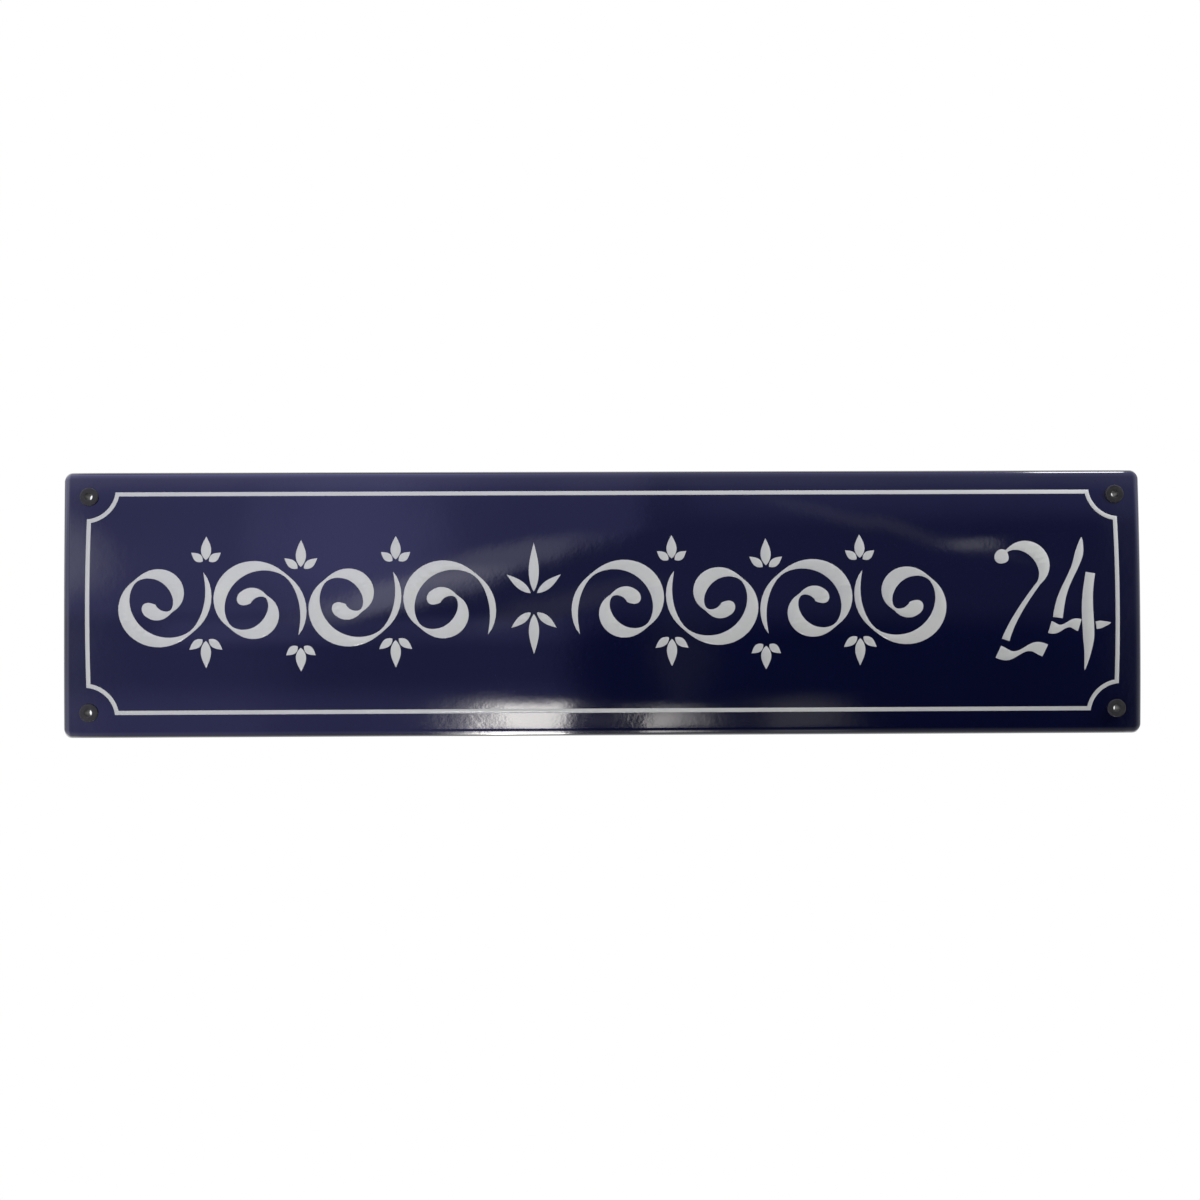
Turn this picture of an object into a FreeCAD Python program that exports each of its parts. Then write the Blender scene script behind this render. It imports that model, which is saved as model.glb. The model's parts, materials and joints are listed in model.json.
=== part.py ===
"""Domed enamelled street name sign.

A long blue sheet-steel plate with a face curved from top to bottom, an edge turned back all round,
a raised white line with notched corners, and a rubber spacer grommet in each corner hole.
The front faces -Y, +Z is up, and the origin is the centre of the four holes, in the wall plane.
Sizes are in millimetres.
"""

import FreeCAD, Part
import Sketcher
import math
import os
import re
from types import SimpleNamespace

SIZES = (
    ("plate_length", 600.0, "length of the sign, end to end"),
    ("plate_height", 147.5, "height of the sign"),
    ("edge_depth", 7.0, "from the wall plane to where the face would meet the long sides"),
    ("dome_radius", 290.0, "radius of the face's curve, seen from the end"),
    ("edge_draft", 12.0, "lean of the turned back edge, which is widest at the wall, in degrees"),
    ("sheet_thickness", 1.5, "steel with its coats of enamel"),
    ("corner_radius", 4.6, "corner of the outline"),
    ("bend_radius", 3.9, "outer radius where the face turns into the edge"),
    ("rim_rounding", 0.4, "enamel rounds the cut edge of the sheet"),
    ("hole_inset_end", 16.0, "end of the plate to the centre of a hole"),
    ("hole_inset_side", 14.25, "long side of the plate to the centre of a hole"),
    ("hole_radius", 3.5, "fixing hole in the sheet"),
    ("neck_clearance", 0.05, "radial gap between a grommet's neck and its hole"),
    ("grommet_radius", 5.0, "outside of a grommet"),
    ("bore_radius", 2.0, "the screw's way through a grommet"),
    ("grommet_stand", 1.9, "how far a grommet stands up from the face, at its centre"),
    ("grommet_bevel", 0.6, "bevelled edge of a grommet's front"),
    ("mouth_bevel", 0.3, "bevelled mouth of its bore"),
    ("border_inset_end", 15.2, "end of the plate to the outer edge of the white line"),
    ("border_inset_top", 11.7, "top of the plate to the outer edge of the white line"),
    ("border_inset_bottom", 13.0, "bottom of the plate to the outer edge of the white line"),
    ("border_width", 2.3, "width of the white line"),
    ("border_thickness", 0.15, "how far the white enamel stands on the blue"),
    ("notch_radius", 16.3, "hollow corner of the line: the side of the arc that faces the corner"),
    ("notch_offset", 1.2, "the arc's centre beyond the line's sharp corner, both ways"),
)

CORNERS = {
    "top_left": (-1, 1),
    "top_right": (1, 1),
    "bottom_left": (-1, -1),
    "bottom_right": (1, -1),
}

# Where things are, as formulas of the sheet's sizes
HALF_LENGTH = "plate_length / 2"
HALF_HEIGHT = "plate_height / 2"
HOLE_ACROSS = HALF_LENGTH + " - hole_inset_end"
HOLE_UP = HALF_HEIGHT + " - hole_inset_side"
DOME_CENTRE = "sqrt(dome_radius ^ 2 - (%s) ^ 2) - edge_depth" % HALF_HEIGHT
CROWN_DEPTH = "dome_radius - (%s)" % DOME_CENTRE
FACE_AT_HOLE = "sqrt(dome_radius ^ 2 - (%s) ^ 2) - (%s)" % (HOLE_UP, DOME_CENTRE)
GROMMET_FRONT = FACE_AT_HOLE + " + grommet_stand"
BLANK_DEPTH = CROWN_DEPTH + " + bend_radius"

FIRST, LAST, CENTRE = 1, 2, 3
ORIGIN = (-1, 1)
ACROSS_AXIS = -1
UPRIGHT_AXIS = -2
NEAR = 1e-4

doc = FreeCAD.newDocument("street_name_sign")


# The sheet of driving sizes

sheet = doc.addObject("Spreadsheet::Sheet", "sizes")
for row, (alias, value, meaning) in enumerate(SIZES, start=1):
    sheet.set("A%d" % row, alias)
    sheet.set("B%d" % row, str(value))
    sheet.set("C%d" % row, meaning)
    sheet.setAlias("B%d" % row, alias)
doc.recompute()
size = SimpleNamespace(**{alias: value for alias, value, meaning in SIZES})

half_length = size.plate_length / 2
half_height = size.plate_height / 2
hole_across = half_length - size.hole_inset_end
hole_up = half_height - size.hole_inset_side
dome_centre = math.sqrt(size.dome_radius**2 - half_height**2) - size.edge_depth
crown_depth = size.dome_radius - dome_centre


def bound(formula):
    """Puts the sheet's name before each size in a formula."""
    return re.sub(r"[a-z]+(_[a-z]+)+", r"sizes.\g<0>", formula)


def face_depth(height):
    """Distance of the face from the wall plane at a height above the middle."""
    return math.sqrt(size.dome_radius**2 - height**2) - dome_centre


# Sketches whose sizes are tied to the sheet


def new_body(label):
    body = doc.addObject("PartDesign::Body", label)
    body.Label = label
    return body


def new_sketch(body, name, role):
    """Starts a sketch on one of the body's own origin planes."""
    plane = next(item for item in body.Origin.OriginFeatures if item.Role == role)
    sketch = body.newObject("Sketcher::SketchObject", name)
    sketch.AttachmentSupport = (plane, "")
    sketch.MapMode = "FlatFace"
    return sketch


def tie(sketch, constraint, formula):
    index = sketch.addConstraint(constraint)
    sketch.setExpression("Constraints[%d]" % index, bound(formula))


def tie_across(sketch, item, point, formula):
    """Holds a point at a distance from the origin along the sketch, on the side where it was drawn."""
    across = sketch.getPoint(item, point).x
    ends = (*ORIGIN, item, point) if across > 0 else (item, point, *ORIGIN)
    tie(sketch, Sketcher.Constraint("DistanceX", *ends, abs(across)), formula)


def tie_up(sketch, item, point, formula):
    """Holds a point at a height above or below the origin, on the side where it was drawn."""
    height = sketch.getPoint(item, point).y
    ends = (*ORIGIN, item, point) if height > 0 else (item, point, *ORIGIN)
    tie(sketch, Sketcher.Constraint("DistanceY", *ends, abs(height)), formula)


def tie_radius(sketch, item, formula):
    tie(sketch, Sketcher.Constraint("Radius", item, sketch.Geometry[item].Radius), formula)


def join(sketch, item, point, other, other_point):
    sketch.addConstraint(Sketcher.Constraint("Coincident", item, point, other, other_point))


def draw_line(sketch, start, end):
    return sketch.addGeometry(Part.LineSegment(FreeCAD.Vector(*start, 0), FreeCAD.Vector(*end, 0)))


def draw_level(sketch, start, end, formula):
    """Draws a line along the sketch at a height that a formula gives."""
    line = draw_line(sketch, start, end)
    sketch.addConstraint(Sketcher.Constraint("Horizontal", line))
    tie_up(sketch, line, FIRST, formula)
    return line


def draw_upright(sketch, start, end, formula):
    """Draws a line up the sketch at a distance that a formula gives."""
    line = draw_line(sketch, start, end)
    sketch.addConstraint(Sketcher.Constraint("Vertical", line))
    tie_across(sketch, line, FIRST, formula)
    return line


def draw_dome_arc(sketch, radius, formula):
    """Draws the face's curve, or one parallel to it, across the height of the sign, top end first."""
    half_angle = math.asin(half_height / radius)
    circle = Part.Circle(FreeCAD.Vector(dome_centre, 0, 0), FreeCAD.Vector(0, 0, 1), radius)
    arc = sketch.addGeometry(Part.ArcOfCircle(circle, math.pi - half_angle, math.pi + half_angle))
    sketch.addConstraint(Sketcher.Constraint("PointOnObject", arc, CENTRE, ACROSS_AXIS))
    tie_across(sketch, arc, CENTRE, DOME_CENTRE)
    tie_radius(sketch, arc, formula)
    return arc


def draw_corner_circles(sketch, radius, formula):
    """Draws a circle at each of the four fixing holes."""
    for side, up in CORNERS.values():
        centre = FreeCAD.Vector(side * hole_across, up * hole_up, 0)
        circle = sketch.addGeometry(Part.Circle(centre, FreeCAD.Vector(0, 0, 1), radius))
        tie_across(sketch, circle, CENTRE, HOLE_ACROSS)
        tie_up(sketch, circle, CENTRE, HOLE_UP)
        tie_radius(sketch, circle, formula)


# Features


def pad(body, sketch, formula, both_ways=False):
    feature = body.newObject("PartDesign::Pad", sketch.Name + "_pad")
    feature.Profile = sketch
    feature.Midplane = both_ways
    feature.setExpression("Length", bound(formula))
    return feature


def cut_corner_holes(body, name, radius, formula):
    """Cuts the four corner circles forward from the wall plane, through all that is there."""
    before = body.Shape.Volume
    sketch = new_sketch(body, name, "XZ_Plane")
    draw_corner_circles(sketch, radius, formula)
    pocket = body.newObject("PartDesign::Pocket", name + "_pocket")
    pocket.Profile = sketch
    pocket.Type = "ThroughAll"
    pocket.Reversed = True
    doc.recompute()
    if body.Shape.Volume >= before:
        raise ValueError(name + " cut nothing")


def dress_edges(body, kind, name, wanted, sizing, formula):
    """Works on those edges of the body's tip that a test picks out."""
    tip = body.Tip
    names = ["Edge%d" % number for number, edge in enumerate(tip.Shape.Edges, start=1) if wanted(edge)]
    feature = body.newObject(kind, name)
    feature.Base = (tip, names)
    feature.setExpression(sizing, bound(formula))
    doc.recompute()


def fillet(body, name, wanted, formula):
    dress_edges(body, "PartDesign::Fillet", name, wanted, "Radius", formula)


def bevel(body, name, wanted, formula):
    dress_edges(body, "PartDesign::Chamfer", name, wanted, "Size", formula)


def in_plane(edge, depth):
    """Tells whether an edge lies flat at a distance in front of the wall plane."""
    box = edge.BoundBox
    return abs(box.YMin + depth) < NEAR and abs(box.YMax + depth) < NEAR


def is_round(edge, radius):
    return hasattr(edge.Curve, "Radius") and abs(edge.Curve.Radius - radius) < NEAR


# The plate: a solid cushion with round edges, less a like one that lies a sheet's thickness inside


def draw_rectangle(sketch, inset, inset_formula):
    """Draws the sign's outline in the wall plane, with sharp corners, or one inset from it."""
    across, up = half_length - inset, half_height - inset
    across_formula, up_formula = HALF_LENGTH + inset_formula, HALF_HEIGHT + inset_formula
    top = draw_level(sketch, (-across, up), (across, up), up_formula)
    right = draw_upright(sketch, (across, up), (across, -up), across_formula)
    bottom = draw_level(sketch, (across, -up), (-across, -up), up_formula)
    left = draw_upright(sketch, (-across, -up), (-across, up), across_formula)
    join(sketch, top, LAST, right, FIRST)
    join(sketch, right, LAST, bottom, FIRST)
    join(sketch, bottom, LAST, left, FIRST)
    join(sketch, left, LAST, top, FIRST)


def curve_front(body, name, radius, radius_formula):
    """Cuts the blank's flat front back to the face's curve, or to one parallel to it."""
    before = body.Shape.Volume
    section = new_sketch(body, name, "YZ_Plane")
    arc = draw_dome_arc(section, radius, radius_formula)
    front = crown_depth + size.bend_radius
    edge = section.getPoint(arc, FIRST).x
    top = draw_level(section, (edge, half_height), (-front, half_height), HALF_HEIGHT)
    ahead = draw_upright(section, (-front, half_height), (-front, -half_height), BLANK_DEPTH)
    bottom = draw_level(section, (-front, -half_height), (edge, -half_height), HALF_HEIGHT)
    join(section, arc, FIRST, top, FIRST)
    join(section, top, LAST, ahead, FIRST)
    join(section, ahead, LAST, bottom, FIRST)
    join(section, bottom, LAST, arc, LAST)
    pocket = body.newObject("PartDesign::Pocket", name + "_cut")
    pocket.Profile = section
    pocket.Type = "ThroughAll"
    pocket.Midplane = True
    doc.recompute()
    if body.Shape.Volume >= before:
        raise ValueError(name + " cut nothing")


def make_cushion(label, inset, less):
    """Makes the sign as if it were solid, or the same a sheet's thickness inside all its faces."""
    body = new_body(label)
    outline = new_sketch(body, label + "_outline", "XZ_Plane")
    lean = math.radians(size.edge_draft)
    rim_formula = less and less + " / cos(edge_draft * 1deg)"
    draw_rectangle(outline, inset / math.cos(lean), rim_formula)
    blank = pad(body, outline, BLANK_DEPTH)
    blank.setExpression("TaperAngle", bound("-edge_draft"))
    doc.recompute()
    radius = size.dome_radius - inset
    curve_front(body, label + "_front", radius, "dome_radius" + less)
    fillet(body, label + "_corners", runs_to_wall, "corner_radius" + less)
    face = curved_face(body, radius)
    fillet(body, label + "_bend", lambda edge: any(map(edge.isSame, face.Edges)), "bend_radius" + less)
    return body


def make_plate():
    body = make_cushion("sign_plate", 0, "")
    hollow = make_cushion("hollow", size.sheet_thickness, " - sheet_thickness")
    pressing = body.newObject("PartDesign::Boolean", "pressing")
    pressing.Type = "Cut"
    pressing.addObject(hollow)
    doc.recompute()
    fillet(body, "rim_round", lambda edge: in_plane(edge, 0), "rim_rounding")
    cut_corner_holes(body, "fixing_holes", size.hole_radius, "hole_radius")
    return body


def runs_to_wall(edge):
    """Tells whether an edge runs from the face back to the wall plane."""
    return edge.BoundBox.YMin < -NEAR and edge.BoundBox.YMax > -NEAR


def curved_face(body, radius):
    """Finds the face of the body's tip that curves about the sign's length."""
    for face in body.Tip.Shape.Faces:
        if isinstance(face.Surface, Part.Cylinder) and abs(face.Surface.Radius - radius) < NEAR:
            return face
    raise ValueError(body.Label + " has no curved face")


# A curved layer that follows the face, between two parallel arcs


def make_layer(label, front, front_formula, back, back_formula):
    body = new_body(label)
    section = new_sketch(body, label + "_section", "YZ_Plane")
    front_arc = draw_dome_arc(section, front, front_formula)
    back_arc = draw_dome_arc(section, back, back_formula)
    for up, end in ((1, FIRST), (-1, LAST)):
        start = section.getPoint(front_arc, end)
        stop = section.getPoint(back_arc, end)
        line = draw_level(section, (start.x, up * half_height), (stop.x, up * half_height), HALF_HEIGHT)
        join(section, front_arc, end, line, FIRST)
        join(section, line, LAST, back_arc, end)
    pad(body, section, "plate_length", both_ways=True)
    doc.recompute()
    return body


# The white line: its outline from the front, kept where it meets a thin layer on the face


def draw_notched_loop(sketch, inset, inset_formula):
    """Draws the line's outer edge, or with an inset its inner edge, round four hollow corners."""
    end_formula = HALF_LENGTH + " - border_inset_end"
    side_formulas = {
        1: HALF_HEIGHT + " - border_inset_top",
        -1: HALF_HEIGHT + " - border_inset_bottom",
    }
    end = half_length - size.border_inset_end
    side = {1: half_height - size.border_inset_top, -1: half_height - size.border_inset_bottom}
    radius = size.notch_radius + inset
    reach = math.sqrt(radius**2 - (size.notch_offset + inset) ** 2)
    arcs = {}
    for across, up in ((1, 1), (-1, 1), (-1, -1), (1, -1)):
        centre = FreeCAD.Vector(
            across * (end + size.notch_offset), up * (side[up] + size.notch_offset), 0
        )
        to_level = math.atan2(-up * (size.notch_offset + inset), -across * reach)
        to_upright = math.atan2(-up * reach, -across * (size.notch_offset + inset))
        level_first = across * up > 0
        angles = (to_level, to_upright) if level_first else (to_upright, to_level)
        circle = Part.Circle(centre, FreeCAD.Vector(0, 0, 1), radius)
        arc = sketch.addGeometry(Part.ArcOfCircle(circle, *angles))
        tie_across(sketch, arc, CENTRE, end_formula + " + notch_offset")
        tie_up(sketch, arc, CENTRE, side_formulas[up] + " + notch_offset")
        tie_radius(sketch, arc, "notch_radius" + inset_formula)
        arcs[across, up] = arc, (FIRST, LAST) if level_first else (LAST, FIRST)

    def notch_end(across, up, which):
        arc, ends = arcs[across, up]
        return arc, ends[which]

    def link(draw, start, stop, formula):
        """Draws the straight edge between two notches and joins it to them."""
        first, last = sketch.getPoint(*start), sketch.getPoint(*stop)
        line = draw(sketch, (first.x, first.y), (last.x, last.y), formula)
        join(sketch, *start, line, FIRST)
        join(sketch, line, LAST, *stop)

    for up in (1, -1):
        level = side_formulas[up] + inset_formula.replace("+", "-")
        link(draw_level, notch_end(-1, up, 0), notch_end(1, up, 0), level)
    for across in (1, -1):
        upright = end_formula + inset_formula.replace("+", "-")
        link(draw_upright, notch_end(across, -1, 1), notch_end(across, 1, 1), upright)


def make_border():
    outline = new_body("border_outline")
    sketch = new_sketch(outline, "border_sketch", "XZ_Plane")
    draw_notched_loop(sketch, 0, "")
    draw_notched_loop(sketch, size.border_width, " + border_width")
    pad(outline, sketch, "(%s) * 2" % CROWN_DEPTH)
    doc.recompute()
    coat = make_layer(
        "white_coat",
        size.dome_radius + size.border_thickness,
        "dome_radius + border_thickness",
        size.dome_radius,
        "dome_radius",
    )
    border = doc.addObject("Part::Common", "white_border")
    border.Label = "white_border"
    border.Base = outline
    border.Tool = coat
    return border


# The grommets: rubber sleeves from the front of the face back to the wall, grooved by the sheet


def make_sleeve(corner, across, up):
    body = new_body("sleeve_" + corner)
    body.setExpression("Placement.Base.x", "(%d) * (%s)" % (across, bound(HOLE_ACROSS)))
    body.setExpression("Placement.Base.z", "(%d) * (%s)" % (up, bound(HOLE_UP)))
    section = new_sketch(body, "sleeve_section_" + corner, "XY_Plane")
    front = face_depth(hole_up) + size.grommet_stand
    inner, outer = size.bore_radius, size.grommet_radius
    outside = draw_upright(section, (outer, 0), (outer, -front), "grommet_radius")
    mouth = draw_level(section, (outer, -front), (inner, -front), GROMMET_FRONT)
    bore = draw_upright(section, (inner, -front), (inner, 0), "bore_radius")
    back = draw_line(section, (inner, 0), (outer, 0))
    section.addConstraint(Sketcher.Constraint("PointOnObject", back, FIRST, ACROSS_AXIS))
    section.addConstraint(Sketcher.Constraint("Horizontal", back))
    join(section, outside, LAST, mouth, FIRST)
    join(section, mouth, LAST, bore, FIRST)
    join(section, bore, LAST, back, FIRST)
    join(section, back, LAST, outside, FIRST)
    turn = body.newObject("PartDesign::Revolution", "sleeve_turn_" + corner)
    turn.Profile = section
    turn.ReferenceAxis = (section, ["V_Axis"])
    turn.Angle = 360
    doc.recompute()

    def rims(radius):
        return lambda edge: is_round(edge, radius) and in_plane(edge, front)

    bevel(body, "front_bevel_" + corner, rims(outer), "grommet_bevel")
    bevel(body, "mouth_bevel_" + corner, rims(inner), "mouth_bevel")
    return body


def make_grommets():
    sheet_layer = make_layer(
        "sheet_layer",
        size.dome_radius,
        "dome_radius",
        size.dome_radius - size.sheet_thickness,
        "dome_radius - sheet_thickness",
    )
    neck = size.hole_radius - size.neck_clearance
    cut_corner_holes(sheet_layer, "necks", neck, "hole_radius - neck_clearance")
    grommets = []
    for corner, (across, up) in CORNERS.items():
        grommet = doc.addObject("Part::Cut", "grommet_" + corner)
        grommet.Label = "grommet_" + corner
        grommet.Base = make_sleeve(corner, across, up)
        grommet.Tool = sheet_layer
        grommets.append(grommet)
    return grommets


# Build, check and write

pieces = [make_plate(), make_border(), *make_grommets()]
doc.recompute()

for item in doc.Objects:
    if "Invalid" in item.State or "Error" in item.State:
        raise ValueError(item.Label + " has failed: " + str(item.State))
for piece in pieces:
    if piece.Shape.isNull() or not piece.Shape.isValid() or len(piece.Shape.Solids) != 1:
        raise ValueError(piece.Label + " is not one sound solid")

os.makedirs("parts", exist_ok=True)
for piece in pieces:
    piece.Shape.exportStep("parts/" + piece.Label + ".step")
    box = piece.Shape.optimalBoundingBox(True, False)
    print(
        "%-22s volume %9.1f  x %7.2f %7.2f  y %7.2f %7.2f  z %7.2f %7.2f"
        % (piece.Label, piece.Shape.Volume, box.XMin, box.XMax, box.YMin, box.YMax, box.ZMin, box.ZMax)
    )
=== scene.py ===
# %% [markdown]
# # An enamelled street sign, dressed for its photograph
#
# The CAD model gives the frame: a pressed steel plate, a white line and four rubber
# grommets. This lesson loads it, makes each surface as fine as the real sign's, and lights
# it like the photograph. Lengths are in metres. The wall is the plane y = 0, the front
# looks along -Y, and +Z is up.

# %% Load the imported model
import json
import math

import bmesh
import bpy
from mathutils import Matrix, Vector

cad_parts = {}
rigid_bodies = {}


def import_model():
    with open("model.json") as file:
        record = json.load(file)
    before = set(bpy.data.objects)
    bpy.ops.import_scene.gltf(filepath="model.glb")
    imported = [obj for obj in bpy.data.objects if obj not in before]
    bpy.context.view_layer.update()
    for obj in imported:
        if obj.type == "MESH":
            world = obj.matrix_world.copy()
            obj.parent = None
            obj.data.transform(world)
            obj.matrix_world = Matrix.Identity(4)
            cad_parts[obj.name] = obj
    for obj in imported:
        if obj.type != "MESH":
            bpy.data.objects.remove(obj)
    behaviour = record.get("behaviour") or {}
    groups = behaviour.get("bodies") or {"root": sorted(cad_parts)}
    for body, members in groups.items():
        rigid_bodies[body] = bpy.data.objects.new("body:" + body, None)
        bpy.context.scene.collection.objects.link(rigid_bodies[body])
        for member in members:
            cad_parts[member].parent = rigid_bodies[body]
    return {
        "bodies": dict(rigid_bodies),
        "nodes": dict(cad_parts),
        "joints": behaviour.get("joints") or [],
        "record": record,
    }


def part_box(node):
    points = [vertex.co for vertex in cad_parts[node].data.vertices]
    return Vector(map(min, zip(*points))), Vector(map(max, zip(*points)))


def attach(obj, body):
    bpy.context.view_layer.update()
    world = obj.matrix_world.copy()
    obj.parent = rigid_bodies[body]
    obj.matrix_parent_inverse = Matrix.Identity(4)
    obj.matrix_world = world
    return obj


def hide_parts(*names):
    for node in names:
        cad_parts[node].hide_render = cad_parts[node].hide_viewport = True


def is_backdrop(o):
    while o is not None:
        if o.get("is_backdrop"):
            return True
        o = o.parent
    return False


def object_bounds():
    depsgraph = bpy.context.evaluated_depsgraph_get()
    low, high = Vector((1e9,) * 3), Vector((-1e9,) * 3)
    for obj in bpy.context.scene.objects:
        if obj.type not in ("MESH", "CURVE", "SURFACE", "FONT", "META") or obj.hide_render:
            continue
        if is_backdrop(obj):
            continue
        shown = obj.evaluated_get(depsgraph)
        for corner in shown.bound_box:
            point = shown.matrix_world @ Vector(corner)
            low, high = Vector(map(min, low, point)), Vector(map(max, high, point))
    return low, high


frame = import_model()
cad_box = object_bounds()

MM = 0.001
TINY = 0.001 * MM
print("nodes:", sorted(frame["nodes"]))
print("box of the solids in mm:", [round(side / MM, 2) for side in cad_box[1] - cad_box[0]])

# %% [markdown]
# ## The sizes that everything follows
#
# The plate is pressed from one sheet: a face that curves from top to bottom, a soft bend,
# and an edge that leans outward to a rim on the wall. The radii repeat the CAD's values.
# The places come from the frame: the box of the plate, which the rounded rim makes a
# little smaller than its outline, and the spacing that the record states for the holes.

# %% Sizes of the sheet
DOME_RADIUS = 290 * MM
BEND_RADIUS = 3.9 * MM
CORNER_RADIUS = 4.6 * MM
SHEET = 1.5 * MM
RIM_ROUNDING = 0.4 * MM
LEAN = math.radians(12)

plate_low, plate_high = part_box("sign_plate")
rounded_away = RIM_ROUNDING * (math.tan(LEAN) + 1 / math.cos(LEAN) - 1)
HALF_LENGTH = plate_high.x + rounded_away
HALF_HEIGHT = plate_high.z + rounded_away
DOME_AXIS = DOME_RADIUS + plate_low.y

holes = next(mount for mount in frame["record"]["mounts"] if mount["name"] == "fixing_holes")
HOLE_ACROSS = holes["dims"]["spacing_x_mm"] / 2 * MM
HOLE_UP = holes["dims"]["spacing_y_mm"] / 2 * MM
hole_places = [(side * HOLE_ACROSS, up * HOLE_UP) for side in (-1, 1) for up in (-1, 1)]


def on_dome(x, height, z):
    """The point at (x, z) that stands a height in front of the enamelled face."""
    return Vector((x, DOME_AXIS - math.sqrt((DOME_RADIUS + height) ** 2 - z * z), z))


print("outline in mm:", round(2 * HALF_LENGTH / MM, 2), "x", round(2 * HALF_HEIGHT / MM, 2))
print("the face stands", round(-on_dome(0, 0, HOLE_UP).y / MM, 2), "mm off the wall at a hole")

# %% [markdown]
# ## From the workbench to the sign
#
# Each piece is shaped in a bmesh, Blender's workbench for meshes, and then becomes an
# object at the origin whose place is in its mesh. `settle` joins points that touch, turns
# the faces outward, shades them smooth and keeps true edges crisp. `make_piece` fastens
# the piece to the sign and prints whether its skin is closed. The shorter helpers round
# off points or edges, pick the points or the edges out of a result, and give a direction
# on the front of the sign.


# %% Helpers for every piece
CRISP = math.radians(40)
SHARP_TURN = 1.0  # radians


def settle(bm):
    bmesh.ops.remove_doubles(bm, verts=bm.verts, dist=2 * TINY)
    bmesh.ops.recalc_face_normals(bm, faces=bm.faces)
    for face in bm.faces:
        face.smooth = True
    for edge in bm.edges:
        edge.smooth = edge.calc_face_angle(0) < CRISP


def make_object(name, bm, material):
    mesh = bpy.data.meshes.new(name)
    bm.to_mesh(mesh)
    bm.free()
    mesh.materials.append(material)
    made = bpy.data.objects.new(name, mesh)
    bpy.context.scene.collection.objects.link(made)
    return made


def make_piece(name, bm, material, slot, *nodes):
    settle(bm)
    closed = all(edge.is_manifold for edge in bm.edges)
    size = "%d faces and %.1f mm3," % (len(bm.faces), bm.calc_volume() / MM**3)
    print(name, "has", size, "closed:", closed)
    piece = make_object(name, bm, material)
    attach(piece, "root")
    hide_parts(*nodes)


def round_off(bm, parts, width, segments, affect="EDGES"):
    bmesh.ops.bevel(
        bm, geom=parts, offset=width, affect=affect, segments=segments, profile=0.5, material=-1
    )


def points_of(geometry):
    return [item for item in geometry if isinstance(item, bmesh.types.BMVert)]


def edges_of(geometry):
    return [item for item in geometry if isinstance(item, bmesh.types.BMEdge)]


def toward(angle):
    """The direction at an angle from the right, turning up."""
    return Vector((math.cos(angle), 0, math.sin(angle)))


# %% [markdown]
# ## A workbench for finishes
#
# A finish is drawn by nodes from the piece's own place in space, so it doesn't slide when
# the camera moves. `Finish` keeps the nodes of one material and has a short call for each
# kind of node that the finishes use.


# %% Nodes of a finish
class Finish:
    def __init__(self, name):
        self.material = bpy.data.materials.new(name)
        self.material.use_nodes = True
        self.tree = self.material.node_tree
        self.shader = self.tree.nodes["Principled BSDF"]
        self.place = self.node("ShaderNodeTexCoord").outputs["Object"]

    def node(self, kind, **settings):
        made = self.tree.nodes.new(kind)
        for name, value in settings.items():
            setattr(made, name, value)
        return made

    def feed(self, socket, value):
        """Sets a socket to a plain value or links another node's output to it."""
        if isinstance(value, bpy.types.NodeSocket):
            self.tree.links.new(value, socket)
        else:
            socket.default_value = value

    def set(self, name, value):
        """Gives a value to an input of the finish's own shader."""
        self.feed(self.shader.inputs[name], value)

    def noise(self, place, size, detail, roughness):
        made = self.node("ShaderNodeTexNoise")
        settings = {"Vector": place, "Scale": 1 / size, "Detail": detail, "Roughness": roughness}
        for name, value in settings.items():
            self.feed(made.inputs[name], value)
        return made.outputs["Fac"]

    def clouds(self, size, detail=2.0, roughness=0.5):
        """Soft clouds about a size across, around 0.5."""
        return self.noise(self.place, size, detail, roughness)

    def stretch(self, value, low, high, to_low, to_high, kind="LINEAR"):
        """Maps the range low to high onto another range and holds it there."""
        ramp = self.node("ShaderNodeMapRange", interpolation_type=kind)
        for socket, number in zip(ramp.inputs, (value, low, high, to_low, to_high)):
            self.feed(socket, number)
        return ramp.outputs["Result"]

    def blend(self, share, first, second, kind="RGBA"):
        """Blends two colours, or with kind FLOAT two numbers, by a share from 0 to 1."""
        mix = self.node("ShaderNodeMix", data_type=kind)
        sockets = [socket for socket in mix.inputs if socket.enabled]
        for socket, value in zip(sockets, (share, first, second)):
            self.feed(socket, value)
        return next(socket for socket in mix.outputs if socket.enabled)

    def maths(self, operation, *values):
        made = self.node("ShaderNodeMath", operation=operation)
        for socket, value in zip(made.inputs, values):
            self.feed(socket, value)
        return made.outputs[0]

    def relief(self, height, depth, below=None):
        """Bumps of a depth, added to the ones below."""
        bump = self.node("ShaderNodeBump")
        self.feed(bump.inputs["Height"], height)
        self.feed(bump.inputs["Distance"], depth)
        if below is not None:
            self.feed(bump.inputs["Normal"], below)
        return bump.outputs["Normal"]

    def mark(self, name):
        """A value that the mesh carries at its points."""
        return self.node("ShaderNodeAttribute", attribute_name=name).outputs["Fac"]


# %% [markdown]
# ## Blue enamel and ground coat
#
# Vitreous enamel is glass, fired onto the steel. Its colour is deep and nearly even, with
# faint clouds where the coat is thicker. It is very smooth but never quite flat: it has a
# fine orange peel, and it lies in slow waves that make reflections wander. The back only
# gets the dark ground coat that makes the blue hold. It is duller and mottled. One
# material holds both and blends them by a mark on the points of the plate.


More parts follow.
